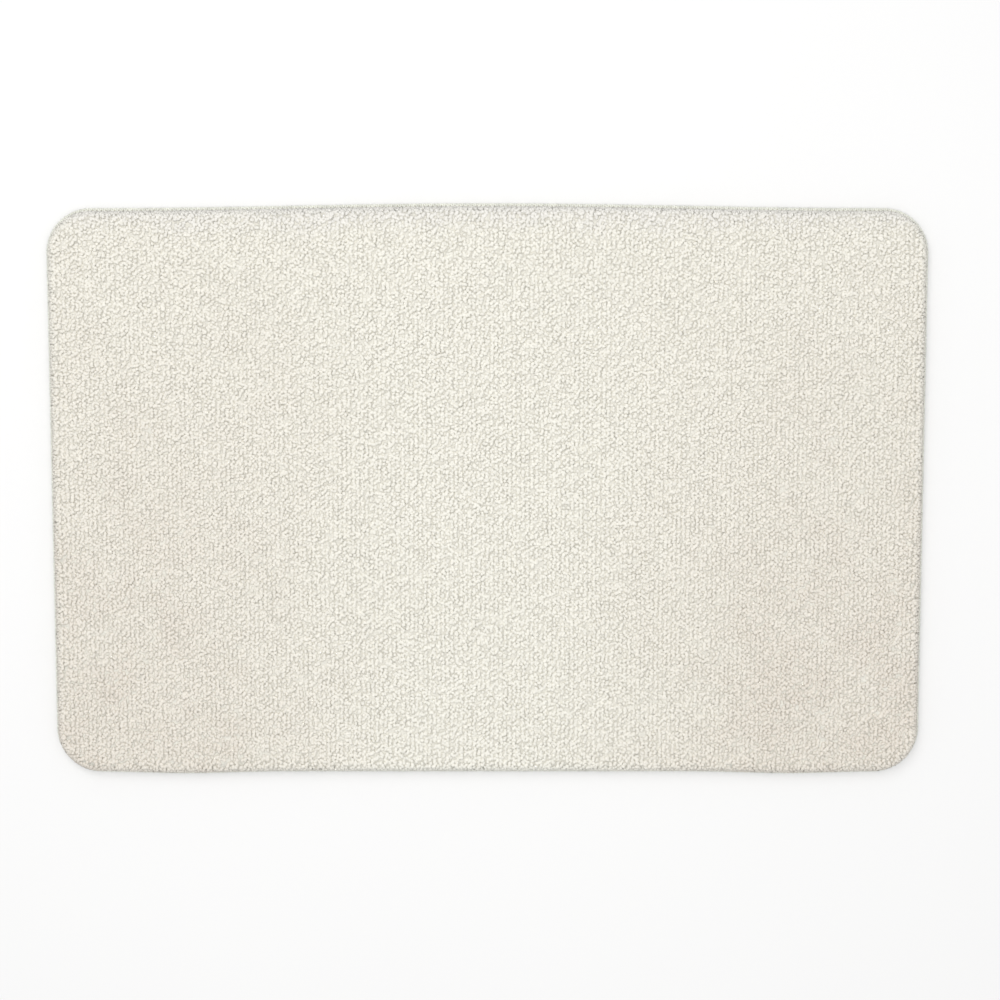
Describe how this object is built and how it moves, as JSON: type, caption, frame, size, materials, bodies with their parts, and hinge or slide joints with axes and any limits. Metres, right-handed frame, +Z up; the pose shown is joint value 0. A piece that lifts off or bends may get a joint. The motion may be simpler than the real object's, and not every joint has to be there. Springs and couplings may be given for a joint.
{
  "type": "bath mat",
  "caption": "Rectangular plush bath mat with rounded corners: cream cut pile on a coated base cloth, an overlocked edge and a studded non-slip rubber backing.",
  "frame": {"origin": "middle of the mat's underside, on the plane that the grip studs stand on", "axes": "+X along the mat's length, +Y across its width, +Z up out of the pile"},
  "size_m": [0.78, 0.51, 0.0166],
  "materials": {
    "grip_rubber": "matte",
    "latex_coat": "satin",
    "base_cloth": "matte",
    "pile_yarn": "matte",
    "edge_thread": "satin",
    "label_tape": "satin"
  },
  "bodies": {
    "root": {"rubber_backing": "grip_rubber", "tuft_lock_coat": "latex_coat", "primary_cloth": "base_cloth", "pile_tufts": "pile_yarn", "needle_thread": "edge_thread", "upper_looper_thread": "edge_thread", "lower_looper_thread": "edge_thread", "care_label": "label_tape"}
  },
  "joints": []
}
